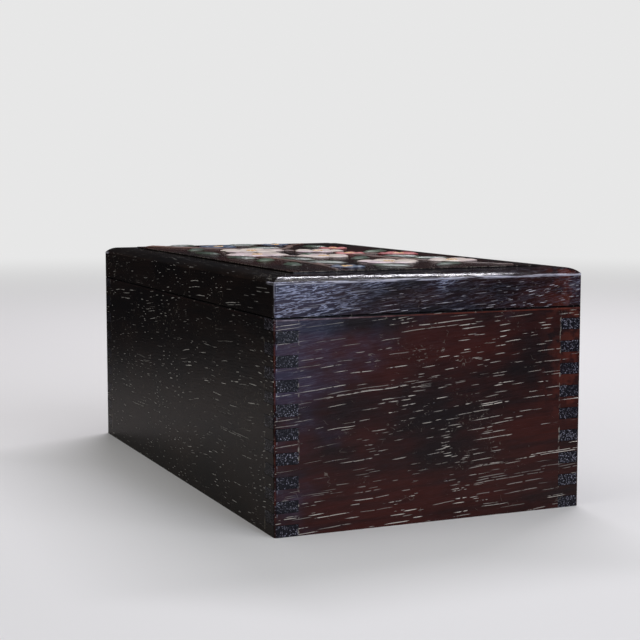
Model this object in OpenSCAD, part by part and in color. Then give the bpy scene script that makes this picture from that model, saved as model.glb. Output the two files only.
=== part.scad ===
// Ink stick and stone box: a finger-jointed hardwood case with a framed, inlaid lift-off lid.
// Inside, an inkstone lies on the bottom and a lift-out tray above it holds three ink sticks.
// Millimetres. +X along the box, +Y to the back, +Z up; the origin is the middle of the base.

/* [Case] */
// Overall length of the box
box_l = 195; // [175:0.5:215]
// Overall width of the box
box_w = 109.5; // [98:0.5:125]
// Height of the case without its lid
case_h = 67.2; // [66:0.1:80]
// Thickness of the case boards
board_t = 8; // [6.5:0.1:9]
// Radius of the upright corners
corner_r = 1; // [0.5:0.1:2]
// Number of fingers in each corner joint, an even number
finger_count = 18; // [10:2:22]
// Glue line between neighbouring fingers
glue_line = 0.1; // [0.04:0.02:0.2]

/* [Bottom] */
// Thickness of the bottom panel
bottom_t = 5; // [4:0.5:7]
// Height of the bottom panel above the foot of the boards
bottom_rise = 3; // [2:0.5:5]
// Depth of the groove that holds the bottom panel
bottom_groove = 3.5; // [2:0.5:5]
// Room at each edge of a grooved panel for the wood to swell
swell_gap = 0.5; // [0.2:0.1:1]

/* [Lining] */
// Thickness of the lining strips
lining_t = 3; // [2.4:0.1:4]
// Height of the lip that the lining makes above the rim
lip_rise = 4; // [2:0.1:4.4]
// Clearance between the lip and the lid
lip_gap = 0.2; // [0.1:0.05:0.4]

/* [Lid] */
// Height of the lid frame
lid_h = 12.8; // [12:0.1:16]
// Width of the lid frame's rails
rail_w = 10; // [9.6:0.1:14]
// Width of the rounded shoulder along the lid's upper edge
shoulder_w = 4.5; // [2.5:0.1:6]
// Drop of the rounded shoulder
shoulder_h = 2.2; // [1:0.1:2.4]
// Chamfer along the lid's lower edge
seam_chamfer = 0.4; // [0.2:0.1:1]
// Thickness of the tongue round the lid panel
tongue_t = 3; // [2:0.1:3.6]
// Depth of the groove in the rails that holds the tongue
rail_groove = 3; // [2:0.1:4]
// Height of the lid panel's underside above the lip
lid_headroom = 2; // [1:0.1:2.6]
// Width of the sunk line between the frame and the panel's field
quirk_w = 1; // [0.6:0.1:2]
// Height of the panel's field above the frame
field_rise = 0.5; // [0.2:0.1:1.5]

/* [Inlay] */
// Depth of the pockets in the lid panel
inlay_depth = 0.8; // [0.5:0.1:1.5]
// Height of the inlay above the panel
inlay_relief = 0.7; // [0.3:0.1:1.2]
// Clearance round each inlay piece
inlay_gap = 0.06; // [0.03:0.01:0.12]
// Number of petals on a blossom
petal_count = 5; // [5:1:8]
// Radius of a middling blossom
blossom_r = 10; // [8:0.5:11]
// Radius of a blossom's centre
centre_r = 2.2; // [1.5:0.1:2.6]
// Length of a middling leaf
leaf_l = 17; // [13:0.5:18]
// Width of a leaf
leaf_w = 6.4; // [4:0.2:8]
// Width of a branch where it starts
branch_root_w = 4.6; // [3:0.2:6]
// Width of a branch at its tip
branch_tip_w = 1.4; // [1:0.1:2.6]

/* [Tray] */
// Clearance between the tray and the lining
tray_gap = 0.4; // [0.2:0.1:0.8]
// Depth of the tray's upper edge below the lip
tray_drop = 1.2; // [0.5:0.1:3]
// Thickness of the tray walls
tray_wall_t = 4; // [3:0.1:5]
// Depth to which the end walls lap into the long walls
lap_depth = 2; // [1:0.1:2.5]
// Thickness of the tray's bottom
tray_bottom_t = 3; // [2:0.1:4]
// Height of the tray's bottom above the foot of its walls
tray_bottom_rise = 2; // [1.5:0.1:4]
// Depth of the groove that holds the tray's bottom
tray_groove = 2; // [1:0.1:2.4]
// Thickness of the dividers
divider_t = 3; // [2:0.1:4]
// Height of the dividers above the tray's bottom
divider_h = 16; // [12:0.5:20]
// Radius of the thumb notch in each end wall
thumb_r = 12; // [10:0.5:16]
// Depth of the thumb notch
thumb_h = 6; // [5:0.5:8]
// Width of the ledges that carry the tray
ledge_w = 4; // [3:0.1:6]
// Height of those ledges
ledge_h = 6; // [4:0.5:8]

/* [Ink sticks] */
// Length of an ink stick
stick_l = 112; // [90:1:130]
// Thickness of an ink stick
stick_t = 11; // [8:0.5:13]
// Corner radius of an ink stick
stick_r = 3; // [1:0.5:6]
// Width of the raised border round an ink stick's faces
stick_border = 2.2; // [1.5:0.1:3]
// Depth of the faces inside that border
stick_face_d = 0.6; // [0.3:0.1:1]
// Corner radius of those faces
stick_face_r = 1.5; // [0.5:0.5:4]
// Room at each end of an ink stick in its trough
stick_end_gap = 2; // [1:0.5:5]
// Room at each side of an ink stick in its trough
stick_side_gap = 1.1; // [0.6:0.1:2]

/* [Inkstone] */
// Free space between each end of the lining and the batten at the inkstone's end
end_bay_l = 16; // [8:0.5:24]
// Thickness of the battens at the inkstone's ends
batten_t = 6; // [4:0.5:10]
// Thickness of the fillets along the inkstone's sides
fillet_t = 5.2; // [4:0.1:9]
// Height of the battens and fillets
fence_h = 8; // [5:0.5:12]
// Clearance between the inkstone and the battens and fillets
stone_gap = 0.5; // [0.2:0.1:1]
// Height of the inkstone
stone_h = 24; // [18:0.5:26]
// Corner radius of the inkstone
stone_r = 6; // [3:0.5:10]
// Width of the rim round the grinding face
stone_rim = 5; // [4:0.5:8]
// Corner radius of the grinding face
stone_face_r = 4; // [2:0.5:8]
// Depth of the grinding face below the rim
face_d = 2.5; // [1:0.1:4]
// Depth of the well below the rim
well_d = 10; // [8:0.5:12]
// Length of the well at its middle
well_l = 17; // [15:0.5:24]
// Radius of the curved shore between the grinding face and the well
shore_r = 60; // [50:1:100]
// Run of the slope from the shore down to the well's floor
shore_run = 7; // [3:0.5:9]
// Room between the inkstone and the top of the ledges
stone_headroom = 6; // [5:0.5:8]

/* [Hidden] */
$fn = 64;
// Overshoot of a cut past the face that it opens
over = 1;

// The case
finger_h = case_h / finger_count;
bay_l = box_l - 2 * board_t;
bay_w = box_w - 2 * board_t;
floor_z = bottom_rise + bottom_t;
inner_l = bay_l - 2 * lining_t;
inner_w = bay_w - 2 * lining_t;
lip_z = case_h + lip_rise;

// The lid
shoulder_r = (pow(shoulder_w, 2) + pow(shoulder_h, 2)) / (2 * shoulder_h);
panel_z = lip_z + lid_headroom;
tongue_l = box_l - 2 * (rail_w - rail_groove + swell_gap);
tongue_w = box_w - 2 * (rail_w - rail_groove + swell_gap);
field_l = box_l - 2 * (rail_w + quirk_w);
field_w = box_w - 2 * (rail_w + quirk_w);
field_z = case_h + lid_h + field_rise;
inlay_h = inlay_depth + inlay_relief;

// The inkstone and the strips that locate it
stone_z = floor_z;
stone_l = inner_l - 2 * (end_bay_l + batten_t + stone_gap);
stone_w = inner_w - 2 * (fillet_t + stone_gap);
ledge_z = stone_z + stone_h + stone_headroom;
shore_x = stone_l / 2 - stone_rim - well_l - shore_r;

// The tray
tray_l = inner_l - 2 * tray_gap;
tray_w = inner_w - 2 * tray_gap;
tray_h = lip_z - tray_drop - ledge_z;
tray_inner_l = tray_l - 2 * tray_wall_t;
tray_inner_w = tray_w - 2 * tray_wall_t;
tray_floor_z = ledge_z + tray_bottom_rise + tray_bottom_t;
trough_l = stick_l + 2 * stick_end_gap;
trough_w = (tray_inner_w - 2 * divider_t) / 3;
trough_pitch = trough_w + divider_t;
stick_w = trough_w - 2 * stick_side_gap;
trough_x = -tray_inner_l / 2 + trough_l / 2;

// Blossoms: place along and across the field as shares of its half length and half width,
// radius as a multiple of blossom_r, and the turn of the first petal
WHITE_BLOSSOMS = [
    [-0.36, -0.30, 1.3, 12], [-0.05, -0.48, 1.2, 50], [0.16, -0.04, 1, 30],
    [-0.23, 0.24, 1, 70], [0.62, 0.12, 1.1, 20], [0.62, 0.68, 0.9, 55]
];
PINK_BLOSSOMS = [[0, 0.34, 0.6, 0], [0.10, 0.72, 0.8, 36], [-0.43, 0.56, 0.6, 10]];
BLUE_BLOSSOMS = [[-0.76, -0.34, 0.8, 40], [-0.84, 0.30, 0.6, 15], [0.84, -0.44, 0.6, 60]];
// Leaves: place as above, length as a multiple of leaf_l, and direction
LEAVES = [
    [0.30, -0.40, 1.05, 28], [0.33, -0.70, 1, -32], [0.55, -0.36, 0.95, 52], [0.62, -0.70, 0.95, -14],
    [0.14, -0.76, 0.95, 24], [-0.24, -0.80, 1, 16], [-0.55, -0.70, 1, -34], [-0.58, 0, 0.95, 62],
    [-0.12, 0.70, 0.95, -60], [0.27, 0.58, 1, 38], [0.33, 0.14, 1, -38], [0.44, 0.68, 0.85, 64],
    [0.82, 0.44, 0.95, -58], [0.83, -0.06, 0.9, 35], [-0.62, 0.54, 0.95, 22], [-0.88, -0.02, 0.85, 80],
    [-0.92, -0.60, 0.85, 96], [0.02, -0.04, 0.8, 12]
];
// Branches and twigs: four points of a curve, each placed as above, and the share of the full width
BRANCHES = [
    [[-0.96, -0.90], [-0.50, -0.50], [-0.25, 0.46], [0, 0.34], 1],
    [[0, 0.34], [0.34, 0.34], [0.50, 0.34], [0.95, 0.86], 0.8],
    [[-0.34, -0.34], [-0.10, -0.86], [0.40, -0.30], [0.95, -0.62], 0.8],
    [[-0.36, -0.26], [-0.50, 0.36], [-0.72, 0.20], [-0.94, 0.68], 0.8],
    [[-0.23, 0.26], [-0.30, 0.52], [-0.38, 0.50], [-0.43, 0.56], 0.5],
    [[0, 0.36], [0.01, 0.52], [0.06, 0.62], [0.10, 0.72], 0.5],
    [[-0.04, -0.46], [0.06, -0.30], [0.12, -0.22], [0.16, -0.06], 0.5],
    [[0.44, 0.42], [0.52, 0.32], [0.58, 0.24], [0.62, 0.14], 0.5],
    [[-0.62, -0.52], [-0.68, -0.46], [-0.72, -0.42], [-0.76, -0.36], 0.5],
    [[-0.64, 0.30], [-0.72, 0.38], [-0.78, 0.36], [-0.84, 0.32], 0.5],
    [[0.62, -0.50], [0.70, -0.48], [0.78, -0.46], [0.84, -0.44], 0.5]
];
// Share of a blossom's radius that one petal's radius takes
petal_share = 0.42;
// Steps along a branch
branch_steps = 12;

// ---- Shared shapes ----

// A rectangle with round corners, centred
module round_rect(l, w, r) {
    square([l - 2 * r, w], center = true);
    square([l, w - 2 * r], center = true);
    for (x = [-1, 1], y = [-1, 1])
        translate([x * (l / 2 - r), y * (w / 2 - r)])
            circle(r);
}

// A block centred on X and Y that stands on z
module block(l, w, h, z) {
    translate([-l / 2, -w / 2, z])
        cube([l, w, h]);
}

// Plan of the front one of four mitred strips round a rectangle l by w
module mitred_plan(l, w, t) {
    polygon([[-l / 2, -w / 2], [l / 2, -w / 2], [l / 2 - t, -w / 2 + t], [-l / 2 + t, -w / 2 + t]]);
}

// Mirrors a piece drawn at the front to the back
module to_back() {
    mirror([0, 1, 0])
        children();
}

// Mirrors a piece drawn at the left to the right
module to_right() {
    mirror([1, 0, 0])
        children();
}

// ---- Case ----

// The space that the corner joint's fingers of one parity take up, grown by half a glue line
module finger_cuts(first) {
    for (i = [first : 2 : finger_count - 1], x = [-1, 1], y = [-1, 1])
        translate([x * (box_l - board_t) / 2, y * (box_w - board_t) / 2, (i + 0.5) * finger_h])
            cube([board_t, board_t, finger_h + glue_line], center = true);
}

// The outer faces of the case, with the corners rounded
module case_block() {
    linear_extrude(case_h)
        round_rect(box_l, box_w, corner_r);
}

// The groove that runs round the inside of the boards
module bottom_groove_cut() {
    block(bay_l + 2 * bottom_groove, bay_w + 2 * bottom_groove, bottom_t, bottom_rise);
}

module side_board() {
    difference() {
        intersection() {
            case_block();
            translate([-box_l / 2, -box_w / 2, 0])
                cube([box_l, board_t, case_h]);
        }
        finger_cuts(1);
        bottom_groove_cut();
    }
}

module end_board() {
    difference() {
        intersection() {
            case_block();
            translate([-box_l / 2, -box_w / 2, 0])
                cube([board_t, box_w, case_h]);
        }
        finger_cuts(0);
        bottom_groove_cut();
    }
}

module side_board_front() {
    color("#3a2422") side_board();
}

module side_board_back() {
    color("#3a2422") to_back() side_board();
}

module end_board_left() {
    color("#4a2824") end_board();
}

module end_board_right() {
    color("#4a2824") to_right() end_board();
}

module bottom_panel() {
    color("#5a3a2a")
        block(
            bay_l + 2 * (bottom_groove - swell_gap),
            bay_w + 2 * (bottom_groove - swell_gap),
            bottom_t,
            bottom_rise
        );
}

// ---- Lining, ledges and the strips that locate the inkstone ----

module lining_strip(l, w) {
    translate([0, 0, floor_z])
        linear_extrude(lip_z - floor_z)
            mitred_plan(l, w, lining_t);
}

module lining_front() {
    color("#6b4330") lining_strip(bay_l, bay_w);
}

module lining_back() {
    color("#6b4330") to_back() lining_strip(bay_l, bay_w);
}

module lining_left() {
    color("#6b4330") rotate(-90) lining_strip(bay_w, bay_l);
}

module lining_right() {
    color("#6b4330") rotate(90) lining_strip(bay_w, bay_l);
}

module tray_ledge() {
    translate([-inner_l / 2, -inner_w / 2, ledge_z - ledge_h])
        cube([ledge_w, inner_w, ledge_h]);
}

module tray_ledge_left() {
    color("#6b4330") tray_ledge();
}

module tray_ledge_right() {
    color("#6b4330") to_right() tray_ledge();
}

module stone_fillet() {
    translate([-inner_l / 2, -inner_w / 2, floor_z])
        cube([inner_l, fillet_t, fence_h]);
}

module stone_fillet_front() {
    color("#6b4330") stone_fillet();
}

module stone_fillet_back() {
    color("#6b4330") to_back() stone_fillet();
}

module stone_batten() {
    translate([-inner_l / 2 + end_bay_l, -inner_w / 2 + fillet_t, floor_z])
        cube([batten_t, inner_w - 2 * fillet_t, fence_h]);
}

module stone_batten_left() {
    color("#6b4330") stone_batten();
}

module stone_batten_right() {
    color("#6b4330") to_right() stone_batten();
}

// ---- Lid ----

// Cross-section of a rail: x inwards from the outer face, y upwards from the seam
module rail_profile() {
    intersection() {
        difference() {
            square([rail_w, lid_h]);
            // Rabbet that drops over the lip
            translate([board_t - lip_gap, -over])
                square([rail_w, lip_rise + lip_gap + over]);
            // Groove for the panel's tongue
            translate([rail_w - rail_groove, panel_z - case_h])
                square([rail_groove + over, tongue_t]);
            // Chamfer at the seam
            polygon([[-over, -over], [seam_chamfer + over, -over], [-over, seam_chamfer + over]]);
        }
        // Rounded shoulder
        union() {
            square([rail_w, lid_h - shoulder_h]);
            translate([shoulder_w, 0])
                square([rail_w - shoulder_w, lid_h]);
            translate([shoulder_w, lid_h - shoulder_r])
                circle(shoulder_r);
        }
    }
}

module lid_rail(l, w) {
    translate([0, 0, case_h])
        intersection() {
            translate([-l / 2, -w / 2, 0])
                rotate([90, 0, 90])
                    linear_extrude(l)
                        rail_profile();
            linear_extrude(lid_h)
                mitred_plan(l, w, rail_w);
            linear_extrude(lid_h)
                round_rect(l, w, corner_r);
        }
}

module lid_rail_front() {
    color("#352322") lid_rail(box_l, box_w);
}

module lid_rail_back() {
    color("#352322") to_back() lid_rail(box_l, box_w);
}

module lid_rail_left() {
    color("#3f2625") rotate(-90) lid_rail(box_w, box_l);
}

module lid_rail_right() {
    color("#3f2625") rotate(90) lid_rail(box_w, box_l);
}

module lid_panel() {
    color("#54291f")
        difference() {
            union() {
                block(tongue_l, tongue_w, tongue_t, panel_z);
                block(field_l, field_w, field_z - panel_z, panel_z);
            }
            inlay_pockets();
        }
}

// ---- Inlay ----

// A place on the field from shares of its half length and half width
function on_field(p) = [p[0] * field_l / 2, p[1] * field_w / 2];

// A point of a curve drawn by four points, and the curve's direction there
function curve_at(p, t) =
    pow(1 - t, 3) * p[0] + 3 * t * pow(1 - t, 2) * p[1] + 3 * t * t * (1 - t) * p[2] + pow(t, 3) * p[3];
function curve_along(p, t) =
    let (d = pow(1 - t, 2) * (p[1] - p[0]) + 2 * t * (1 - t) * (p[2] - p[1]) + t * t * (p[3] - p[2]))
        d / norm(d);

// A point on one edge of a branch that tapers along its curve
function branch_edge(p, share, t, side, grow) =
    let (
        along = curve_along(p, t),
        half_w = share * (branch_root_w + t * (branch_tip_w - branch_root_w)) / 2 + grow,
        end = t == 0 ? -grow : t == 1 ? grow : 0
    )
        curve_at(p, t) + end * along + side * half_w * [-along[1], along[0]];

module branch_plan(grow) {
    for (b = BRANCHES) {
        p = [for (i = [0 : 3]) on_field(b[i])];
        polygon(concat(
            [for (i = [0 : branch_steps]) branch_edge(p, b[4], i / branch_steps, 1, grow)],
            [for (i = [branch_steps : -1 : 0]) branch_edge(p, b[4], i / branch_steps, -1, grow)]
        ));
    }
}

module leaf_plan(grow) {
    for (leaf = LEAVES) {
        length = leaf[2] * leaf_l;
        bow_r = (pow(length, 2) + pow(leaf_w, 2)) / (4 * leaf_w);
        translate(on_field(leaf))
            rotate(leaf[3])
                intersection() {
                    translate([0, bow_r - leaf_w / 2])
                        circle(bow_r + grow);
                    translate([0, leaf_w / 2 - bow_r])
                        circle(bow_r + grow);
                }
    }
}

module blossom_plan(blossoms, grow) {
    for (b = blossoms) {
        petal_r = petal_share * b[2] * blossom_r;
        ring_r = b[2] * blossom_r - petal_r;
        translate(on_field(b))
            rotate(b[3]) {
                circle(ring_r + grow);
                for (i = [1 : petal_count])
                    rotate(i * 360 / petal_count)
                        translate([ring_r, 0])
                            circle(petal_r + grow);
            }
    }
}

module centre_plan(grow) {
    for (b = concat(WHITE_BLOSSOMS, PINK_BLOSSOMS, BLUE_BLOSSOMS))
        translate(on_field(b))
            circle(centre_r + grow);
}

module all_blossoms_plan(grow) {
    blossom_plan(WHITE_BLOSSOMS, grow);
    blossom_plan(PINK_BLOSSOMS, grow);
    blossom_plan(BLUE_BLOSSOMS, grow);
}

// Raises a plan from the floor of the pockets to a height
module from_pocket_floor(h) {
    translate([0, 0, field_z - inlay_depth])
        linear_extrude(h)
            children();
}

module inlay_pockets() {
    from_pocket_floor(inlay_depth + over) {
        all_blossoms_plan(inlay_gap);
        leaf_plan(inlay_gap);
        branch_plan(inlay_gap);
    }
}

module inlay_blossoms(blossoms) {
    from_pocket_floor(inlay_h)
        difference() {
            blossom_plan(blossoms, 0);
            centre_plan(inlay_gap);
        }
}

module inlay_white_blossoms() {
    color("#ded2c4") inlay_blossoms(WHITE_BLOSSOMS);
}

module inlay_pink_blossoms() {
    color("#b25454") inlay_blossoms(PINK_BLOSSOMS);
}

module inlay_blue_blossoms() {
    color("#30425e") inlay_blossoms(BLUE_BLOSSOMS);
}

module inlay_leaves() {
    color("#2a442c")
        from_pocket_floor(inlay_h)
            difference() {
                leaf_plan(0);
                all_blossoms_plan(inlay_gap);
            }
}

module inlay_branches() {
    color("#54301e")
        from_pocket_floor(inlay_h)
            difference() {
                branch_plan(0);
                all_blossoms_plan(inlay_gap);
                leaf_plan(inlay_gap);
            }
}

module inlay_centres() {
    color("#c4964c")
        from_pocket_floor(inlay_h)
            centre_plan(0);
}

// ---- Tray ----

// The groove that runs round the inside of the tray's walls
module tray_groove_cut() {
    block(
        tray_inner_l + 2 * tray_groove,
        tray_inner_w + 2 * tray_groove,
        tray_bottom_t,
        ledge_z + tray_bottom_rise
    );
}

module tray_wall() {
    difference() {
        translate([-tray_l / 2, -tray_w / 2, ledge_z])
            cube([tray_l, tray_wall_t, tray_h]);
        tray_groove_cut();
        // Laps for the end walls
        for (x = [-tray_l / 2 - over, tray_inner_l / 2])
            translate([x, -tray_inner_w / 2 - lap_depth, ledge_z - over])
                cube([tray_wall_t + over, tray_wall_t, tray_h + 2 * over]);
    }
}

module tray_wall_front() {
    color("#7a4c34") tray_wall();
}

module tray_wall_back() {
    color("#7a4c34") to_back() tray_wall();
}

module tray_end() {
    difference() {
        translate([-tray_l / 2, -tray_inner_w / 2 - lap_depth, ledge_z])
            cube([tray_wall_t, tray_inner_w + 2 * lap_depth, tray_h]);
        tray_groove_cut();
        // Thumb notch
        translate([-tray_l / 2 - over, 0, ledge_z + tray_h - thumb_h + thumb_r])
            rotate([0, 90, 0])
                cylinder(h = tray_wall_t + 2 * over, r = thumb_r);
    }
}

module tray_end_left() {
    color("#7a4c34") tray_end();
}

module tray_end_right() {
    color("#7a4c34") to_right() tray_end();
}

module tray_bottom() {
    color("#86583c")
        block(
            tray_inner_l + 2 * (tray_groove - swell_gap),
            tray_inner_w + 2 * (tray_groove - swell_gap),
            tray_bottom_t,
            ledge_z + tray_bottom_rise
        );
}

module tray_cross_divider() {
    color("#7a4c34")
        translate([-tray_inner_l / 2 + trough_l, -tray_inner_w / 2, tray_floor_z])
            cube([divider_t, tray_inner_w, divider_h]);
}

module tray_divider() {
    translate([-tray_inner_l / 2, -trough_pitch / 2 - divider_t / 2, tray_floor_z])
        cube([trough_l, divider_t, divider_h]);
}

module tray_divider_front() {
    color("#7a4c34") tray_divider();
}

module tray_divider_back() {
    color("#7a4c34") to_back() tray_divider();
}

// ---- Ink sticks and inkstone ----

// An ink stick in its trough: -1 front, 0 middle, 1 back
module ink_stick(place) {
    color("#1d1c20")
        translate([trough_x, place * trough_pitch, tray_floor_z])
            difference() {
                linear_extrude(stick_t)
                    round_rect(stick_l, stick_w, stick_r);
                for (z = [-over, stick_t - stick_face_d])
                    translate([0, 0, z])
                        linear_extrude(stick_face_d + over)
                            round_rect(stick_l - 2 * stick_border, stick_w - 2 * stick_border, stick_face_r);
            }
}

module ink_stick_front() {
    ink_stick(-1);
}

module ink_stick_middle() {
    ink_stick(0);
}

module ink_stick_back() {
    ink_stick(1);
}

// Plan of the sunk face inside the inkstone's rim
module stone_face_plan() {
    round_rect(stone_l - 2 * stone_rim, stone_w - 2 * stone_rim, stone_face_r);
}

// The well: everything inside the rim that lies beyond the curved shore
module well_cut() {
    translate([0, 0, stone_h - well_d])
        difference() {
            linear_extrude(well_d + over)
                stone_face_plan();
            translate([shore_x, 0, 0])
                cylinder(h = well_d - face_d, r1 = shore_r + shore_run, r2 = shore_r);
        }
}

module inkstone() {
    color("#34302f")
        translate([0, 0, stone_z])
            difference() {
                linear_extrude(stone_h)
                    round_rect(stone_l, stone_w, stone_r);
                translate([0, 0, stone_h - face_d])
                    linear_extrude(face_d + over)
                        stone_face_plan();
                well_cut();
            }
}

side_board_front();
side_board_back();
end_board_left();
end_board_right();
bottom_panel();
lining_front();
lining_back();
lining_left();
lining_right();
tray_ledge_left();
tray_ledge_right();
stone_fillet_front();
stone_fillet_back();
stone_batten_left();
stone_batten_right();
lid_rail_front();
lid_rail_back();
lid_rail_left();
lid_rail_right();
lid_panel();
inlay_white_blossoms();
inlay_pink_blossoms();
inlay_blue_blossoms();
inlay_leaves();
inlay_branches();
inlay_centres();
tray_wall_front();
tray_wall_back();
tray_end_left();
tray_end_right();
tray_bottom();
tray_cross_divider();
tray_divider_front();
tray_divider_back();
ink_stick_front();
ink_stick_middle();
ink_stick_back();
inkstone();
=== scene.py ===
"""Ink stick and stone box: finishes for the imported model, carved inlay, gilt sprigs, camera and lights."""

import math
from typing import NamedTuple

import bmesh
import bpy
import numpy as np
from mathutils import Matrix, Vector, noise
from mathutils.geometry import delaunay_2d_cdt


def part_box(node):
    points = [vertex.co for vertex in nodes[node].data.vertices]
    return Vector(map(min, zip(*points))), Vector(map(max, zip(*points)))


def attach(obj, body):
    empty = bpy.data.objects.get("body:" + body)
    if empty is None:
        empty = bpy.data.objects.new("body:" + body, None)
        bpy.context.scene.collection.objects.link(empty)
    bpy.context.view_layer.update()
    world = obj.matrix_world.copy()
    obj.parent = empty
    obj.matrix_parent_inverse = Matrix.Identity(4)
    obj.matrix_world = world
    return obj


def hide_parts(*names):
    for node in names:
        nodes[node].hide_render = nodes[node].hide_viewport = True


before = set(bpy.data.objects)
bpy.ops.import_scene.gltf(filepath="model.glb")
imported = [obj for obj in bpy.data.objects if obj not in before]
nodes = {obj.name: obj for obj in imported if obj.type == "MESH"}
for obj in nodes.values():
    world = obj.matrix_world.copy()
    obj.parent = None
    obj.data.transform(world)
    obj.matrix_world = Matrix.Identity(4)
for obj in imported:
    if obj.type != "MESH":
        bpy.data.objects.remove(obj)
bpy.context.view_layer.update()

MM = 0.001

# ---- Sizes, in millimetres ----

# Sizes that the frame doesn't give: the sunk line on the lid, its rounded shoulder and a stick's sunk face
QUIRK_W = 1.0
SHOULDER_H = 2.2
STICK_FACE_D = 0.6

# Sizes read from the frame
HALF_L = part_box("side_board_front")[1].x / MM
HALF_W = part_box("side_board_back")[1].y / MM
SEAM_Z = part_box("side_board_front")[1].z / MM
BOARD_T = HALF_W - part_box("side_board_back")[0].y / MM
ARRIS_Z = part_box("lid_rail_front")[1].z / MM - SHOULDER_H
FIELD_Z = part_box("lid_panel")[1].z / MM
FIELD_HALF_L = -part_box("lid_rail_left")[1].x / MM - QUIRK_W
FIELD_HALF_W = -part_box("lid_rail_front")[1].y / MM - QUIRK_W
INLAY_TOP_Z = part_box("inlay_leaves")[1].z / MM
INLAY_FLOOR_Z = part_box("inlay_leaves")[0].z / MM
RELIEF = INLAY_TOP_Z - FIELD_Z
STONE_TOP_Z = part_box("inkstone")[1].z / MM

# Rounding of the arrises; the case boards keep their joints tight
EASED = 0.25
EASED_RAILS = 0.45
EASED_JOINTS = 0.05
EASED_STICKS = 0.3
EASED_STONE = 0.6

# Edges of the CAD that turn by more than this are eased, and those of the carving stay crisp, in degrees
EASED_ABOVE = 35
CRISP_ABOVE = 50

# Vertices closer than this are one, in metres
TOUCHING = 1e-6


# ---- Camera ----

# Place and nearest distance seen, in metres
CAMERA_PLACE = (0.4894, -0.2096, 0.1097)
CAMERA_NEAREST = 0.01

# Turn from -X towards +Y, and dip below level
CAMERA_TURN = math.radians(23.45)
CAMERA_DIP = math.radians(5.79)

# Lens and sensor, in millimetres
CAMERA_LENS = 79.34
CAMERA_SENSOR = 36.0


def add_camera():
    """The photograph's camera, fitted to the corners of the box that it shows."""
    camera = bpy.data.objects.new("camera", bpy.data.cameras.new("camera"))
    camera.data.lens = CAMERA_LENS
    camera.data.sensor_width = CAMERA_SENSOR
    camera.data.clip_start = CAMERA_NEAREST
    camera.location = CAMERA_PLACE
    level = math.cos(CAMERA_DIP)
    ahead = Vector((-math.cos(CAMERA_TURN) * level, math.sin(CAMERA_TURN) * level, -math.sin(CAMERA_DIP)))
    camera.rotation_euler = ahead.to_track_quat("-Z", "Y").to_euler()
    bpy.context.scene.collection.objects.link(camera)
    bpy.context.scene.camera = camera


add_camera()


# ---- Materials ----


def linear(value):
    """A linear value from a display value of 0 to 255."""
    return ((value / 255 + 0.055) / 1.055) ** 2.4 if value > 10 else value / 255 / 12.92


def srgb(red, green, blue):
    """A linear colour from display values of 0 to 255."""
    return linear(red), linear(green), linear(blue)


def colour(value):
    """An (r, g, b) as Blender's (r, g, b, 1); sockets pass through."""
    return (*value, 1.0) if isinstance(value, tuple) and len(value) == 3 else value


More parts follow.
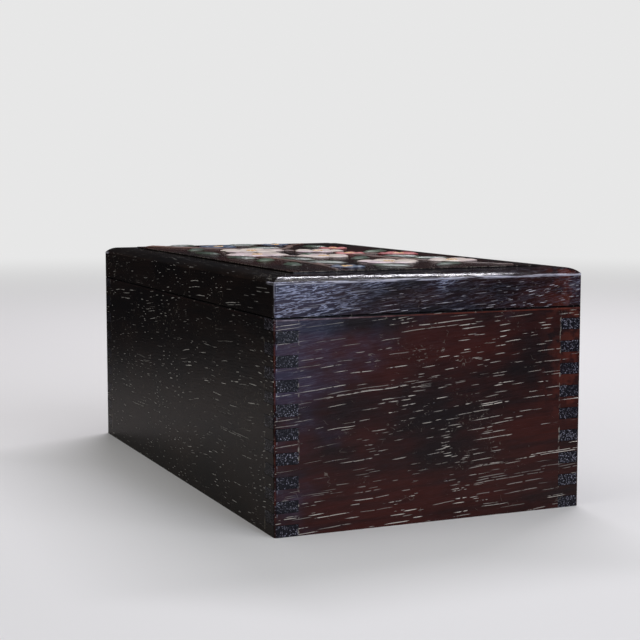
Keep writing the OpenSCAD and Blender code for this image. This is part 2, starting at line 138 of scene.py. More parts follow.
class Graph:
    """A material's node tree, with a short call for each kind of node that the finishes use.

    The scale of a noise is in features per millimetre along each axis.
    """

    def __init__(self, name):
        self.material = bpy.data.materials.new(name)
        self.material.use_nodes = True
        self.tree = self.material.node_tree
        self.shader = self.tree.nodes["Principled BSDF"]

    def feed(self, socket, value):
        """Links a socket to another one, or gives it a constant."""
        if isinstance(value, bpy.types.NodeSocket):
            self.tree.links.new(value, socket)
        elif value is not None:
            socket.default_value = value

    def node(self, kind, inputs=(), **settings):
        """A new node with its settings, and its inputs fed in their order."""
        made = self.tree.nodes.new(kind)
        for name, value in settings.items():
            setattr(made, name, value)
        for socket, value in zip(made.inputs, inputs):
            self.feed(socket, value)
        return made

    def set(self, **inputs):
        """Feeds the Principled shader: base_color is its Base Color, and so on."""
        for name, value in inputs.items():
            wanted = name.replace("_", " ").lower()
            socket = next(s for s in self.shader.inputs if s.name.lower() == wanted)
            self.feed(socket, colour(value))

    def math(self, operation, *values):
        """The result of a sum or a function of values."""
        return self.node("ShaderNodeMath", values, operation=operation).outputs[0]

    def times(self, first, *others):
        """The product of two or more values."""
        for other in others:
            first = self.math("MULTIPLY", first, other)
        return first

    def vector(self, operation, *values):
        """The result of a sum of vectors, or a vector's length."""
        made = self.node("ShaderNodeVectorMath", values, operation=operation)
        return made.outputs["Value" if operation == "LENGTH" else "Vector"]

    def axes(self, vector):
        """The three parts of a vector."""
        return self.node("ShaderNodeSeparateXYZ", (vector,)).outputs

    def turn(self, vector, axis, degrees):
        """A vector turned about one of the row's axes."""
        made = self.node("ShaderNodeVectorRotate", rotation_type=axis + "_AXIS")
        self.feed(made.inputs["Vector"], vector)
        self.feed(made.inputs["Angle"], math.radians(degrees))
        return made.outputs["Vector"]

    def place(self):
        """The point on the piece, in the row's frame, in millimetres."""
        made = self.node("ShaderNodeTexCoord")
        return self.vector("MULTIPLY", made.outputs["Object"], (1 / MM, 1 / MM, 1 / MM))

    def facing(self, axis):
        """1 where the surface faces along an axis of the row, and 0 where it runs along it."""
        normal = self.node("ShaderNodeTexCoord").outputs["Normal"]
        along = self.axes(normal)["XYZ".index(axis)]
        return self.fade(self.math("ABSOLUTE", along), 0.6, 0.85)

    def fade(self, value, start, end, low=0.0, high=1.0):
        """low up to start, high from end on, and a smooth change between them."""
        inputs = (value, start, end, low, high)
        return self.node("ShaderNodeMapRange", inputs, interpolation_type="SMOOTHSTEP").outputs[0]

    def near(self, value, middle, half):
        """1 where value is within half of middle, with soft ends."""
        return self.fade(self.math("ABSOLUTE", self.math("SUBTRACT", value, middle)), half, half * 0.4)

    def noise(self, vector, scale, detail=3.0, roughness=0.5):
        """Noise with its own scale along each axis; outputs[0] is its value and outputs[1] its colour."""
        made = self.node("ShaderNodeTexNoise")
        self.feed(made.inputs["Vector"], self.vector("MULTIPLY", vector, scale))
        self.feed(made.inputs["Scale"], 1.0)
        self.feed(made.inputs["Detail"], detail)
        self.feed(made.inputs["Roughness"], roughness)
        return made.outputs

    def sway(self, vector, scale, detail, reach):
        """A smooth random shift of up to about half of reach along each axis."""
        centred = self.vector("SUBTRACT", self.noise(vector, scale, detail)[1], (0.5, 0.5, 0.5))
        return self.vector("MULTIPLY", centred, reach)

    def cells(self, vector, size):
        """Voronoi cells of a size along each axis: the way from a cell's middle, and its random colour."""
        scaled = self.vector("DIVIDE", vector, size)
        made = self.node("ShaderNodeTexVoronoi", voronoi_dimensions="3D", feature="F1")
        self.feed(made.inputs["Vector"], scaled)
        self.feed(made.inputs["Scale"], 1.0)
        away = self.vector("SUBTRACT", scaled, made.outputs["Position"])
        return self.vector("MULTIPLY", away, size), made.outputs["Color"]

    def mix(self, factor, a, b):
        """a where factor is 0, and b where it is 1."""
        made = self.node("ShaderNodeMix", data_type="RGBA")
        self.feed(made.inputs[0], factor)
        self.feed(made.inputs[6], colour(a))
        self.feed(made.inputs[7], colour(b))
        return made.outputs[2]

    def bump(self, height, depth, strength=1.0):
        """A normal bent by a height of 0 to 1 that stands for depth in millimetres."""
        made = self.node("ShaderNodeBump")
        self.feed(made.inputs["Height"], height)
        self.feed(made.inputs["Distance"], depth * MM)
        self.feed(made.inputs["Strength"], strength)
        return made.outputs["Normal"]


# ---- Wood ----

BLACK = (0.0, 0.0, 0.0)

# Length of a vessel, depth of a pore and reach of the grain's shiver, in millimetres
VESSEL_L = 60.0
PORE_D = 0.08
SHIVER = 0.5

# How far apart in the same endless tree two boards of neighbouring seeds are cut, in millimetres
SEED_STEP = (37.0, 23.0, 11.0)


class Timber(NamedTuple):
    """The look of one kind of wood."""

    dark: tuple
    warm: tuple
    pore: tuple
    # How strongly its pores show, and what share of them does
    shown: float = 1.0
    share: float = 0.75
    # From pore to pore, and the radius of the widest ones, in millimetres
    spacing: float = 0.85
    radius: float = 0.16
    # Pale scratches on the ends of the box, painted bright as glints, and a painted bluish sheen there
    rubbed: float = 0.0
    sheen: float = 0.0
    # How far its fibres stand up, and the roughness of its finish
    ripple: float = 0.8
    gloss: float = 0.22


def grain_frame(g, place, axis, seed, tilt, dip, sway):
    """The point in the wood's own frame, with x along a grain that wanders and shivers."""
    laid = g.turn(g.turn(place, "Z", dip), "X" if axis == "Y" else "Y", tilt)
    if axis == "Y":
        laid = g.turn(laid, "Z", -90.0)
    moved = g.vector("ADD", laid, tuple(seed * step for step in SEED_STEP))
    wander = g.sway(moved, (0.014, 0.02, 0.02), 2.0, (0.0, sway, sway))
    shiver = g.sway(moved, (0.12, 0.3, 0.3), 1.0, (0.0, SHIVER, SHIVER))
    return g.vector("ADD", moved, g.vector("ADD", wander, shiver))


def plain_wood(g, wood, grain, fibre, end_grain):
    """The wood's colour without its pores: warm and dark zones, with streaks and fibres along the grain."""
    zone = g.fade(g.noise(grain, (0.022, 0.05, 0.05), 4.0, 0.55)[0], 0.34, 0.64, 0.12, 1.0)
    streak = g.noise(grain, (0.012, 0.24, 0.24), 3.0, 0.55)[0]
    body = g.mix(g.times(zone, g.fade(streak, 0.25, 0.55, 0.45, 1.0)), wood.dark, wood.warm)
    body = g.mix(g.fade(streak, 0.56, 0.74, 0.0, 0.4), body, wood.dark)
    body = g.mix(g.fade(fibre, 0.3, 0.6, 0.2, 0.0), body, BLACK)
    return g.mix(g.times(end_grain, 0.6), body, wood.dark)


def vessels(g, grain, wood):
    """1 inside the wood's vessels, thin tubes along the grain, and a random value for each of them."""
    away, tint = g.cells(grain, (VESSEL_L, wood.spacing, wood.spacing))
    across = g.vector("LENGTH", g.vector("MULTIPLY", away, (0.0, 1.0, 1.0)))
    chance = g.axes(tint)
    radius = g.fade(chance[1], 0.0, 1.0, wood.radius * 0.6, wood.radius)
    within = g.fade(g.math("DIVIDE", across, radius), 1.15, 0.75)
    filled = g.fade(g.noise(grain, (0.45, 1.2, 1.2), 1.0)[0], 0.36, 0.46)
    kept = g.fade(chance[0], wood.share, wood.share - 0.02)
    return g.times(within, filled, kept), chance[2]


def timber(name, wood, axis, seed, tilt=0.0, dip=1.5, sway=4.0, finish=None):
    """Solid wood with its grain along an axis: dashes where a face runs along the grain, dots on the ends.

    seed says where in the tree it is cut. tilt turns the grain on the face of an upright board, dip turns it
    into the board, both in degrees, and sway is how far it wanders, in millimetres. finish adds wear to the
    colour and the roughness, and painted highlights, sheen and shade to the colour.
    """
    g = Graph(name)
    place = g.place()
    grain = grain_frame(g, place, axis, seed, tilt, dip, sway)
    fibre = g.noise(grain, (0.12, 3.2, 3.2), 3.0, 0.6)[0]
    furrow = g.noise(grain, (0.10, 1.5, 1.5), 2.0, 0.6)[0]
    end_grain = g.facing(axis)
    body = plain_wood(g, wood, grain, fibre, end_grain)

    # Pores, in drifts
    drift = g.fade(g.noise(grain, (0.008, 0.09, 0.09), 2.0)[0], 0.36, 0.56, 0.30, 1.0)
    pores, tint = vessels(g, grain, wood)
    body = g.mix(g.times(pores, drift, g.fade(tint, 0.0, 0.8, 0.35, 1.0), wood.shown), body, wood.pore)

    rough = g.fade(fibre, 0.2, 0.8, wood.gloss - 0.03, wood.gloss + 0.06)
    if finish:
        body, rough = finish(g, wood, place, body, rough, end_grain)
    ripple = g.times(g.math("ADD", g.times(fibre, 0.3), furrow), wood.ripple)
    height = g.math("SUBTRACT", ripple, pores)
    g.set(base_color=body, roughness=rough, specular_ior_level=0.42, normal=g.bump(height, PORE_D))
    return g.material


# Worn red, pale wear with painted highlights, a painted bluish sheen with scratches painted as glints,
# filler or dust, painted shade, and the end grain with its dots
WORN = srgb(124, 58, 42)
PALE_WEAR_AND_HIGHLIGHT = srgb(205, 203, 216)
PAINTED_SHEEN = srgb(64, 75, 106)
SCRATCH_GLINTS = srgb(204, 210, 238)
WAX = srgb(168, 160, 146)
PAINTED_SHADE = srgb(10, 9, 9)
END_DARK = srgb(13, 11, 22)
END_DOTS = srgb(226, 222, 240)

# Pores cut across on the ends of the fingers, in millimetres
DOT_SPACING = 0.52
DOT_R = 0.24


def inward(g, place):
    """Distance in from the nearest upright corner, along a face of the box."""
    x, y, _ = g.axes(place)
    from_end = g.math("SUBTRACT", HALF_L, g.math("ABSOLUTE", x))
    from_side = g.math("SUBTRACT", HALF_W, g.math("ABSOLUTE", y))
    return g.math("MAXIMUM", from_end, from_side)


def patches(g, place):
    """Random patches about 4 mm wide."""
    return g.noise(place, (0.25, 0.25, 0.25), 3.0)[0]


def reddened_corners(g, place, body):
    """Red patches where hands have worn the wood, on the upper half beside the two back corners."""
    _, y, height = g.axes(place)
    beside = g.times(g.fade(inward(g, place), 20.0, 3.0), g.fade(patches(g, place), 0.42, 0.57))
    upper_half = g.fade(height, SEAM_Z * 0.35, SEAM_Z * 0.6)
    return g.mix(g.times(beside, upper_half, g.fade(y, 0.0, HALF_W, 0.0, 0.34)), body, WORN)


def painted_sheen_on_ends(g, wood, place, body):
    """Painted bluish sheen on the two ends, mostly at their upper front, with scratches painted as glints.
    """
    _, y, height = g.axes(place)
    # A painted bluish sheen, strongest at the upper front of each end
    cloud = g.noise(place, (0.022, 0.022, 0.035), 4.0, 0.6)[0]
    to_front = g.fade(y, -HALF_W, 0.0, 0.28, -0.14)
    to_seam = g.fade(height, SEAM_Z * 0.2, SEAM_Z, -0.26, 0.0)
    leaning = g.math("ADD", cloud, g.math("ADD", to_front, to_seam))
    veil = g.times(g.fade(leaning, 0.44, 0.74), g.facing("X"))
    body = g.mix(g.times(veil, wood.sheen), body, PAINTED_SHEEN)
    # Pale scratches painted bright as glints, only within the painted sheen
    fuzz = g.noise(g.turn(place, "X", -7.0), (0.35, 0.10, 1.1), 3.0, 0.65)[0]
    scratch_glints = g.times(g.near(fuzz, 0.52, 0.04), g.fade(veil, 0.0, 0.7, 0.08, 1.0))
    return g.mix(g.times(scratch_glints, wood.rubbed), body, SCRATCH_GLINTS)


def dotted_ends(g, place, body, end_grain):
    """Pale dots on the ends of the fingers, where their pores are cut across."""
    away, tint = g.cells(place, (DOT_SPACING, DOT_SPACING, DOT_SPACING))
    dot = g.times(g.fade(g.vector("LENGTH", away), DOT_R, DOT_R / 2), g.fade(g.axes(tint)[0], 0.2, 1.0))
    tone = g.fade(g.noise(place, (0.10, 0.10, 0.22), 3.0)[0], 0.36, 0.62, 0.2, 0.8)
    return g.mix(g.times(dot, end_grain, tone), body, END_DOTS)


def filled_joints(g, place, body):
    """Crumbs of pale filler at the inner ends of the fingers."""
    below_seam = g.fade(g.axes(place)[2], SEAM_Z, SEAM_Z - 0.5)
    crumbs = g.fade(g.noise(place, (0.9, 0.9, 0.5), 3.0, 0.6)[0], 0.52, 0.62)
    joint = g.times(g.near(inward(g, place), BOARD_T, 0.35), below_seam)
    return g.mix(g.times(joint, crumbs, 0.7), body, WAX)


def worn_arrises(g, place, body):
    """Upright arrises, red on the case and pale on the lid, and the case's rim, worn mostly on the ends,
    with a painted highlight at its front.
    """
    _, y, height = g.axes(place)
    patch = patches(g, place)
    arris = g.times(g.fade(inward(g, place), 0.8, 0.1), g.fade(patch, 0.40, 0.58, 0.15, 1.0))
    along_ends = g.math("MAXIMUM", g.facing("X"), 0.15)
    rim = g.times(g.near(height, SEAM_Z - 0.55, 0.25), g.fade(patch, 0.36, 0.62, 0.45, 1.0), along_ends)
    # Towards the front, the rim is painted pale: a painted highlight
    rim_highlight = g.times(rim, g.fade(y, -HALF_W, 0.0, 0.7, 0.0))
    pale = g.math("MAXIMUM", rim_highlight, g.fade(height, SEAM_Z, SEAM_Z + 2.0))
    worn = g.times(g.math("MAXIMUM", arris, rim), g.fade(height, SEAM_Z, SEAM_Z + 2.0, 0.7, 0.5))
    return g.mix(worn, body, g.mix(pale, WORN, PALE_WEAR_AND_HIGHLIGHT))


def seam_and_lid_arris(g, place, body):
    """Painted shade in the seam, and a painted highlight along the lid's upper arris at each end of the box.
    """
    x, _, height = g.axes(place)
    # Painted shade along the seam between lid and case
    body = g.mix(g.times(g.near(height, SEAM_Z + 0.1, 0.4), 0.9), body, PAINTED_SHADE)
    # A painted highlight along the lid's upper arris, on the two ends only
    streaks = g.fade(g.noise(place, (0.12, 0.12, 2.6), 3.0, 0.6)[0], 0.42, 0.58)
    at_end = g.fade(g.math("ABSOLUTE", x), HALF_L - 7.0, HALF_L - 4.0)
    line = g.times(g.near(height, ARRIS_Z, 0.55), streaks, at_end)
    return g.mix(g.times(line, 0.85), body, PALE_WEAR_AND_HIGHLIGHT)


def scuffed(g, place, body):
    """Small pale scuffs in some places, and hairline scratches."""
    where = g.fade(g.noise(place, (0.045, 0.045, 0.07), 2.0)[0], 0.56, 0.68)
    scuff = g.fade(g.noise(place, (0.8, 0.8, 1.1), 4.0, 0.7)[0], 0.58, 0.68)
    contour = g.noise(place, (0.11, 0.11, 0.16), 2.0, 0.6)[0]
    scratch = g.times(g.near(contour, 0.56, 0.005), g.fade(patches(g, place), 0.58, 0.66))
    marks = g.math("MAXIMUM", g.times(scuff, where), g.times(scratch, 0.7))
    return g.mix(g.times(marks, 0.5), body, WAX)


def outside_wear(g, wood, place, body, rough, end_grain):
    """Tops painted dark as a reflection, dark end grain, the outside's wear, painted light and shade, and a
    polish on the lid's shoulder and top.
    """
    # Faces along Z are painted darker: a painted dark reflection on the tops
    body = g.mix(g.times(g.facing("Z"), 0.6), body, wood.dark)
    body = reddened_corners(g, place, body)
    body = g.mix(g.times(end_grain, 0.94), body, END_DARK)
    body = painted_sheen_on_ends(g, wood, place, body)
    body = dotted_ends(g, place, body, end_grain)
    body = filled_joints(g, place, body)
    body = worn_arrises(g, place, body)
    body = seam_and_lid_arris(g, place, body)
    body = scuffed(g, place, body)
    rough = g.math("ADD", rough, g.times(end_grain, 0.04))
    polish = g.fade(g.axes(place)[2], ARRIS_Z, ARRIS_Z + 1.0, 0.0, 0.10)
    return body, g.math("SUBTRACT", rough, polish)


def field_edge(g, wood, place, body, rough, end_grain):
    """Painted shade in the sunk line round the raised field, and pale dust along the field's arris."""
    x, y, z = g.axes(place)
    from_end = g.math("SUBTRACT", FIELD_HALF_L, g.math("ABSOLUTE", x))
    from_side = g.math("SUBTRACT", FIELD_HALF_W, g.math("ABSOLUTE", y))
    depth = g.math("MINIMUM", from_end, from_side)
    dust = g.fade(g.noise(place, (0.8, 0.8, 0.8), 3.0, 0.6)[0], 0.46, 0.60)
    body = g.mix(g.times(g.fade(depth, 0.9, 0.3), dust, 0.45), body, WAX)
    # Below the field's top, the sunk line is painted near black: painted shade
    return g.mix(g.fade(z, FIELD_Z - 0.10, FIELD_Z - 0.22, 0.0, 0.95), body, PAINTED_SHADE), rough


ROSEWOOD = Timber(
    srgb(23, 18, 19), srgb(68, 27, 21), srgb(246, 236, 220),
    radius=0.135, rubbed=0.05, sheen=0.40, ripple=0.4,
)
LID_ROSEWOOD = Timber(
    srgb(13, 12, 18), srgb(52, 20, 17), srgb(216, 212, 218),
    spacing=0.72, radius=0.12, rubbed=0.62, sheen=0.42,
)
DARK_ROSEWOOD = Timber(
    srgb(15, 13, 12), srgb(44, 32, 26), srgb(250, 247, 238),
    share=0.65, spacing=1.05, radius=0.145, ripple=0.5,
)
PANEL_ROSEWOOD = Timber(
    srgb(22, 10, 9), srgb(56, 21, 15), srgb(30, 15, 12),
    shown=0.7, ripple=0.3, gloss=0.17,
)
INNER_ROSEWOOD = Timber(srgb(84, 50, 35), srgb(128, 80, 54), srgb(46, 27, 20), radius=0.19, gloss=0.46)
TRAY_ROSEWOOD = Timber(srgb(98, 55, 37), srgb(150, 92, 58), srgb(52, 29, 20), radius=0.19, gloss=0.42)

end_wood = timber(
    "rosewood_end", ROSEWOOD, "Y", seed=1.0, tilt=-4.0, dip=1.5, sway=5.0, finish=outside_wear,
)
side_wood = timber(
    "rosewood_side", DARK_ROSEWOOD, "X", seed=2.0, tilt=3.0, dip=4.5, sway=12.0, finish=outside_wear,
)
rail_end_wood = timber(
    "rosewood_rail_end", LID_ROSEWOOD, "Y", seed=3.0, tilt=-5.5, dip=2.5, sway=8.0, finish=outside_wear,
)
rail_side_wood = timber(
    "rosewood_rail_side", DARK_ROSEWOOD, "X", seed=4.0, tilt=3.0, dip=4.5, sway=10.0, finish=outside_wear,
)
panel_wood = timber(
    "rosewood_panel", PANEL_ROSEWOOD, "X", seed=5.0, tilt=1.5, dip=2.0, sway=8.0, finish=field_edge,
)
inner_x = timber("inner_rosewood_x", INNER_ROSEWOOD, "X", seed=6.0)
inner_y = timber("inner_rosewood_y", INNER_ROSEWOOD, "Y", seed=7.0)
tray_x = timber("tray_rosewood_x", TRAY_ROSEWOOD, "X", seed=8.0)
tray_y = timber("tray_rosewood_y", TRAY_ROSEWOOD, "Y", seed=9.0)

WOODEN = {
    end_wood: ("end_board_left", "end_board_right"),
    side_wood: ("side_board_front", "side_board_back"),
    rail_end_wood: ("lid_rail_left", "lid_rail_right"),
    rail_side_wood: ("lid_rail_front", "lid_rail_back"),
    panel_wood: ("lid_panel",),
    inner_x: ("bottom_panel", "lining_front", "lining_back", "stone_fillet_front", "stone_fillet_back"),
    inner_y: (
        "lining_left", "lining_right", "tray_ledge_left", "tray_ledge_right",
        "stone_batten_left", "stone_batten_right",
    ),
    tray_x: ("tray_wall_front", "tray_wall_back", "tray_bottom", "tray_divider_front", "tray_divider_back"),
    tray_y: ("tray_end_left", "tray_end_right", "tray_cross_divider"),
}


def finish_node(name, material, rounding):
    """Gives a CAD node its material, and rounds its sharp edges as sandpaper does."""
    node = nodes[name]
    node.data.materials.clear()
    node.data.materials.append(material)
    weld = node.modifiers.new("weld", "WELD")
    weld.merge_threshold = TOUCHING
    bevel = node.modifiers.new("ease", "BEVEL")
    bevel.width = rounding * MM
    bevel.segments = 2
    bevel.limit_method = "ANGLE"
    bevel.angle_limit = math.radians(EASED_ABOVE)
    bevel.harden_normals = True


def easing(name):
    """The rounding of a wooden node's arrises."""
    if "board" in name:
        return EASED_JOINTS
    return EASED_RAILS if "rail" in name else EASED


for wood, names in WOODEN.items():
    for name in names:
        finish_node(name, wood, easing(name))


# ---- Carving ----

# Pitch of a net's rows, and the gap between its inner points and its rim, as shares of its step
ROW_PITCH = 0.87
RIM_GAP = 0.45

# Points of a net closer than this are one, in millimetres
NET_TOUCHING = 1e-5

# The kind of output of delaunay_2d_cdt that leaves out the triangles outside the outer edges
WITHIN_EDGES = 1


def top_islands(node):
    """The loops of edges round each separate top face of a node: arrays of points, the outer loop first.

    Faces and edges are kept in lists and dictionaries, so that the loops come in the same order in each run.
    """
    shape = bmesh.new()
    shape.from_mesh(node.data)
    bmesh.ops.remove_doubles(shape, verts=shape.verts, dist=TOUCHING)
    top = max(v.co.z for v in shape.verts)
    upper = [f for f in shape.faces if f.normal.z > 0.9 and f.calc_center_median().z > top - 10 * TOUCHING]
    left = dict.fromkeys(upper)
    islands = []
    while left:
        grown = [left.popitem()[0]]
        for face in grown:
            for edge in face.edges:
                for other in edge.link_faces:
                    if other in left:
                        del left[other]
                        grown.append(other)
        island = set(grown)
        rim = [e for f in grown for e in f.edges if sum(o in island for o in e.link_faces) == 1]
        loops = []
        while rim:
            edge = rim.pop()
            chain = [edge.verts[0], edge.verts[1]]
            while chain[-1] is not chain[0]:
                edge = next(e for e in rim if chain[-1] in e.verts)
                rim.remove(edge)
                chain.append(edge.other_vert(chain[-1]))
            loops.append(np.array([(v.co.x / MM, v.co.y / MM) for v in chain[:-1]]))
        loops.sort(key=lambda loop: -np.ptp(loop[:, 0]))
        islands.append(loops)
    shape.free()
    return islands


def divided(loop, step):
    """A closed loop with points added so that none of its sides is longer than step."""
    points = []
    for start, end in zip(loop, np.roll(loop, -1, axis=0)):
        count = max(1, math.ceil(np.linalg.norm(end - start) / step))
        points.extend(start + (end - start) * i / count for i in range(count))
    return np.array(points)


def edge_distance(points, loops):
    """Distance of each point from the nearest side of the loops."""
    nearest = np.full(len(points), np.inf)
    for loop in loops:
        for start, end in zip(loop, np.roll(loop, -1, axis=0)):
            side = end - start
            share = np.clip((points - start) @ side / (side @ side), 0, 1)
            away = points - (start + share[:, None] * side)
            nearest = np.minimum(nearest, np.hypot(away[:, 0], away[:, 1]))
    return nearest


def inside(points, loops):
    """True for each point that lies within the outer loop and outside the others."""
    crossings = np.zeros(len(points), dtype=int)
    for loop in loops:
        for (x0, y0), (x1, y1) in zip(loop, np.roll(loop, -1, axis=0)):
            if y0 == y1:
                continue
            spans = (points[:, 1] > min(y0, y1)) & (points[:, 1] <= max(y0, y1))
            at = x0 + (points[:, 1] - y0) * (x1 - x0) / (y1 - y0)
            crossings += spans & (at > points[:, 0])
    return crossings % 2 == 1


def filled(points, edges, loops):
    """Triangles within the rims that the edges form, and out of the loops' holes: points and faces."""
    given = [Vector(point) for point in points]
    verts, _, faces, *_ = delaunay_2d_cdt(given, edges, [], WITHIN_EDGES, NET_TOUCHING)
    points = np.array([tuple(v) for v in verts])
    middles = np.array([points[list(face)].mean(axis=0) for face in faces])
    return points, [face for face, held in zip(faces, inside(middles, loops)) if held]


def net(loops, step):
    """A net of triangles of about a size that fills the loops: its points and its faces."""
    low, high = loops[0].min(axis=0), loops[0].max(axis=0)
    grid = []
    for i, y in enumerate(np.arange(low[1], high[1], step * ROW_PITCH)):
        grid.extend((x, y) for x in np.arange(low[0] + (i % 2) * step / 2, high[0], step))
    grid = np.array(grid)
    rims = [divided(loop, step) for loop in loops]
    kept = grid[inside(grid, loops)]
    kept = kept[edge_distance(kept, loops) > step * RIM_GAP]
    edges = []
    first = 0
    for rim in rims:
        count = len(rim)
        edges.extend((first + i, first + (i + 1) % count) for i in range(count))
        first += count
    return filled(np.vstack(rims + [kept]), edges, loops)


def rim_sides(faces):
    """The sides that only one of the faces has, in its direction."""
    sides = [side for face in faces for side in zip(face, face[1:] + face[:1])]
    held = set(sides)
    return [(start, end) for start, end in sides if (end, start) not in held]


def carved_piece(name, islands, height, step, floor_z, base_z, material):
    """A solid that fills the islands' outlines from floor_z up to its carved height above base_z.

    Its vertices and faces come in the same order in each run.
    """
    shape = bmesh.new()
    for loops in islands:
        points, faces = net(loops, step)
        tops = base_z + height(points, loops)
        verts = [shape.verts.new((x * MM, y * MM, z * MM)) for (x, y), z in zip(points, tops)]
        for face in faces:
            shape.faces.new([verts[i] for i in face])
        rim = rim_sides(faces)
        around = [start for start, _ in rim]
        below = [shape.verts.new((*points[i] * MM, floor_z * MM)) for i in around]
        foot_of = dict(zip(around, range(len(around))))
        sides = [(foot_of[start], foot_of[end]) for start, end in rim]
        for (start, end), (under_start, under_end) in zip(rim, sides):
            shape.faces.new((verts[end], verts[start], below[under_start], below[under_end]))
        _, foot = filled(points[around], sides, loops)
        for face in foot:
            shape.faces.new([below[i] for i in reversed(face)])
    bmesh.ops.delete(shape, geom=[v for v in shape.verts if not v.link_faces], context="VERTS")
    bmesh.ops.recalc_face_normals(shape, faces=shape.faces)
    mesh = bpy.data.meshes.new(name)
    shape.to_mesh(mesh)
    shape.free()
    mesh.shade_smooth()
    mesh.set_sharp_from_angle(angle=math.radians(CRISP_ABOVE))
    mesh.materials.append(material)
    piece = bpy.data.objects.new(name, mesh)
    bpy.context.scene.collection.objects.link(piece)
    return piece


def smooth(value, start, end):
    """0 up to start, 1 from end on, and a smooth change between them."""
    share = np.clip((value - start) / (end - start), 0, 1)
    return share * share * (3 - 2 * share)


def grit(points, size):
    """Smooth noise of about -1 to 1 with features of a size."""
    return np.array([noise.noise(Vector((x / size, y / size, 0.0))) for x, y in points])


# ---- Inlay ----

PETALS = 5
RIBS_PER_TURN = 46
BEADS = 7

# The carving stays between these heights above the field, in millimetres
CARVED_MIN = 0.05
CARVED_MAX = RELIEF - 0.01


def blossom_height(points, loops):
    """Petals that overlap like a pinwheel, cupped towards the middle, with rounded rims and fine ribs."""
    middle = loops[-1].mean(axis=0)
    outline = loops[0] - middle
    turns = np.arctan2(outline[:, 1], outline[:, 0])
    reach = np.hypot(outline[:, 0], outline[:, 1])
    phase = np.angle(np.sum((reach - reach.mean()) * np.exp(1j * PETALS * turns))) / PETALS
    away = points - middle
    radius = np.hypot(away[:, 0], away[:, 1])
    petal = math.tau / PETALS
    side = (np.arctan2(away[:, 1], away[:, 0]) - phase + petal / 2) % petal - petal / 2
    share = radius / reach.max()
    crease = radius * np.sin(petal / 2 - np.abs(side))
    rim = smooth(edge_distance(points, loops[:1]), 0.0, 1.5)
    lap = smooth(radius * np.sin(petal / 2 + side), 0.0, 2.6)
    fold = smooth(radius * np.sin(petal / 2 - side), -0.1, 0.5)
    cup = 0.45 + 0.55 * smooth(share, 0.15, 0.75)
    ribs = 0.035 * np.cos(side * RIBS_PER_TURN) * smooth(share, 0.25, 0.5) * smooth(crease, 0.3, 1.0)
    return 0.13 + 0.54 * cup * (0.35 + 0.65 * rim) * (0.55 + 0.45 * lap) * (0.7 + 0.3 * fold) + ribs


def leaf_height(points, loops):
    """A leaf with a sunk midrib, arched halves and sloping side veins."""
    outline = loops[0]
    spread = np.linalg.norm(outline[:, None] - outline[None], axis=2)
    a, b = np.unravel_index(spread.argmax(), spread.shape)
    along = (outline[b] - outline[a]) / spread[a, b]
    away = points - (outline[a] + outline[b]) / 2
    u = away @ along
    v = away @ np.array([-along[1], along[0]])
    arch = smooth(edge_distance(points, loops), 0.0, 1.6)
    rib = np.exp(-(v / 0.35) ** 2)
    veins = np.abs(((u - 0.8 * np.abs(v)) / 2.1) % 1 - 0.5) * 2
    return 0.14 + arch * (0.46 - 0.26 * rib + 0.07 * smooth(veins, 0.0, 0.35))


def branch_height(points, loops):
    """A round, knotty bough."""
    round_top = np.sqrt(smooth(edge_distance(points, loops), -0.1, 1.8))
    return 0.12 + round_top * (0.46 + 0.10 * grit(points, 1.7)) + 0.03 * grit(points, 0.6)


def centre_height(points, loops):
    """A bead within a ring of smaller ones."""
    middle = loops[0].mean(axis=0)
    size = np.hypot(*(loops[0][0] - middle))
    turns = [i * math.tau / BEADS for i in range(BEADS)]
    beads = [(0.0, 0.0, 0.36)] + [(0.66 * math.cos(turn), 0.66 * math.sin(turn), 0.28) for turn in turns]
    height = np.zeros(len(points))
    for x, y, radius in beads:
        away = points - middle - np.array((x, y)) * size
        share = np.hypot(away[:, 0], away[:, 1]) / (radius * size)
        height = np.maximum(height, np.sqrt(np.clip(1 - share ** 2, 0, 1)))
    return 0.38 + 0.30 * height


def inlay(name, node_name, material, height, step):
    """Replaces a flat CAD inlay with carved pieces of the same outlines, from the pocket to the top."""

    def held_height(points, loops):
        return np.clip(height(points, loops), CARVED_MIN, CARVED_MAX)

    islands = top_islands(nodes[node_name])
    piece = carved_piece(name, islands, held_height, step, INLAY_FLOOR_Z, FIELD_Z, material)
    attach(piece, "lid")
    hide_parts(node_name)


VEIN = srgb(70, 52, 44)
HOLLOW = srgb(54, 34, 28)


def carved_material(name, base, shade, tint, gloss, vein=0.3):
    """Carved shell, stone or wood: clouded colour, darker in the hollows by age, with a soft polish."""
    g = Graph(name)
    place = g.place()
    cloud = g.noise(place, (0.10, 0.10, 0.3), 4.0, 0.6)[0]
    body = g.mix(g.fade(cloud, 0.35, 0.65), base, shade)
    drift = g.noise(g.vector("ADD", place, (50.0, 0.0, 0.0)), (0.05, 0.05, 0.1), 2.0)[0]
    body = g.mix(g.fade(drift, 0.45, 0.65, 0.0, 0.7), body, tint)
    line = g.noise(place, (0.9, 0.35, 0.5), 5.0, 0.65)[0]
    body = g.mix(g.fade(line, 0.30, 0.46, vein, 0.0), body, VEIN)
    low = g.fade(g.axes(place)[2], FIELD_Z + 0.40, FIELD_Z + 0.02)
    body = g.mix(g.times(low, 0.6), body, HOLLOW)
    g.set(base_color=body, roughness=g.fade(line, 0.3, 0.7, gloss, gloss + 0.12))
    g.set(normal=g.bump(line, 0.03, 0.6))
    return g.material


